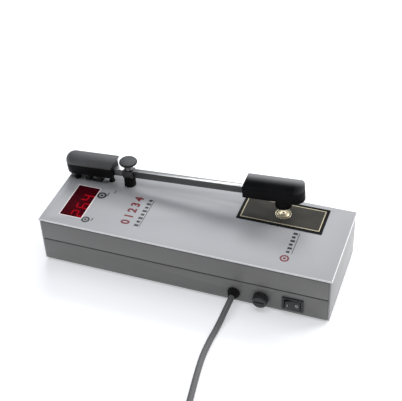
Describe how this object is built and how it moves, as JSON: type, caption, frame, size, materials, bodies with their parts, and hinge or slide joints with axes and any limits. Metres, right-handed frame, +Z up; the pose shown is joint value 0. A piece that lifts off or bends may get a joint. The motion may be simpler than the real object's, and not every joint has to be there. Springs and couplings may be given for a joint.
{
  "type": "photographic densitometer",
  "caption": "Bench transmission densitometer: a low metal case with a lit measuring spot, a red digital display and a sprung sensor arm pressed down on the film.",
  "frame": {"origin": "on the bench plane, under the middle of the case: the centre of the pattern of its four feet", "axes": "+X along the case towards the measuring spot, +Y towards the back, +Z up; the cord, fuse and switch are on the -Y side"},
  "size_m": [0.3049, 0.3761, 0.1006],
  "materials": {
    "case_paint": "satin light grey enamel",
    "cover_paint": "fine matt pale grey",
    "black_plastic": "moulded, satin",
    "hood_grey": "moulded, finely grained",
    "black_rubber": "matt",
    "steel": "brushed",
    "bright_steel": "nickel plated",
    "brass": "turned",
    "black_steel": "blackened",
    "stage_black": "anodised, dark bronze",
    "red_window": "clear red",
    "digit_face": "dark with lit red bars",
    "circuit_board": "solder mask",
    "chips": "moulded",
    "winding": "taped copper winding",
    "opal_glass": "opal",
    "lamp_glass": "clear",
    "filter_green": "polished",
    "ceramic": "glazed",
    "lamp_metal": "spun",
    "cord_grey": "extruded, satin"
  },
  "bodies": {
    "case": {"base_tray": "case_paint", "upper_shell": "case_paint", "cover_plate": "cover_paint", "end_plate_left": "case_paint", "end_plate_right": "case_paint", "case_screws": "bright_steel", "feet": "black_rubber", "display_window": "red_window", "display_digits": "digit_face", "display_board": "circuit_board", "main_board": "circuit_board", "board_parts": "chips", "board_standoffs": "brass", "transformer_core": "steel", "transformer_coil": "winding", "stage_plate": "stage_black", "aperture_bush": "brass", "diffuser": "opal_glass", "lamp_house": "lamp_metal", "lamp_socket": "ceramic", "lamp": "lamp_glass", "hinge_bracket": "black_steel", "bracket_screws": "black_steel", "pivot_pin": "bright_steel", "pin_clips": "bright_steel", "post_stud": "bright_steel", "stud_nut": "bright_steel", "spring_boot": "black_rubber", "return_spring": "bright_steel", "down_stop": "black_rubber", "lead_grommet": "black_rubber", "sensor_lead": "black_rubber", "cord_gland": "black_rubber", "fuse_holder": "black_plastic", "switch_frame": "black_plastic", "mains_cord": "cord_grey", "cord_coil": "cord_grey", "cord_tie": "black_rubber", "mains_plug": "black_rubber", "plug_pins": "brass"},
    "arm": {"arm_bar": "steel", "bar_boss": "steel", "pivot_block": "brass", "rear_cap": "hood_grey", "rear_body": "black_plastic", "head_cap": "black_plastic", "head_body": "black_plastic", "arm_screws": "black_steel", "sensor_nose": "black_plastic", "filter_glass": "filter_green", "photocell": "chips"},
    "washer": {"knob_washer": "black_plastic"},
    "knob": {"height_knob": "hood_grey"},
    "rocker": {"switch_rocker": "black_plastic"},
    "fuse": {"fuse_link": "bright_steel"},
    "fuse_cap": {"fuse_cap": "black_plastic"}
  },
  "joints": [
    {"name": "arm_pivot", "type": "hinge", "parent": "case", "child": "arm", "pos_m": [-0.123, 0.027, 0.068], "axis": [0, 1, 0], "range_deg": [0, 2.6], "stiffness_Nm_per_rad": 1.2, "springref_deg": -8.59, "deforming": ["spring_boot", "return_spring"]},
    {"name": "knob_rise", "type": "slide", "parent": "case", "child": "washer", "axis": [0, 0, 1], "range_m": [0, 0.0014]},
    {"name": "knob_turn", "type": "hinge", "parent": "washer", "child": "knob", "pos_m": [-0.0832, 0.027, 0.08], "axis": [0, 0, 1], "range_deg": [0, 720]},
    {"name": "switch_rock", "type": "hinge", "parent": "case", "child": "rocker", "pos_m": [0.114, -0.05, 0.01475], "axis": [0, 0, 1], "range_deg": [-18, 0]},
    {"name": "fuse_draw", "type": "slide", "parent": "case", "child": "fuse", "axis": [0, -1, 0], "range_m": [0, 0.04]},
    {"name": "fuse_cap_turn", "type": "hinge", "parent": "fuse", "child": "fuse_cap", "pos_m": [0.0825, -0.051, 0.0135], "axis": [0, -1, 0], "range_deg": [0, 90]}
  ],
  "couplings": [
    {"joint": "knob_rise", "follows": "knob_turn", "m_per_rad": 0.00011141}
  ]
}
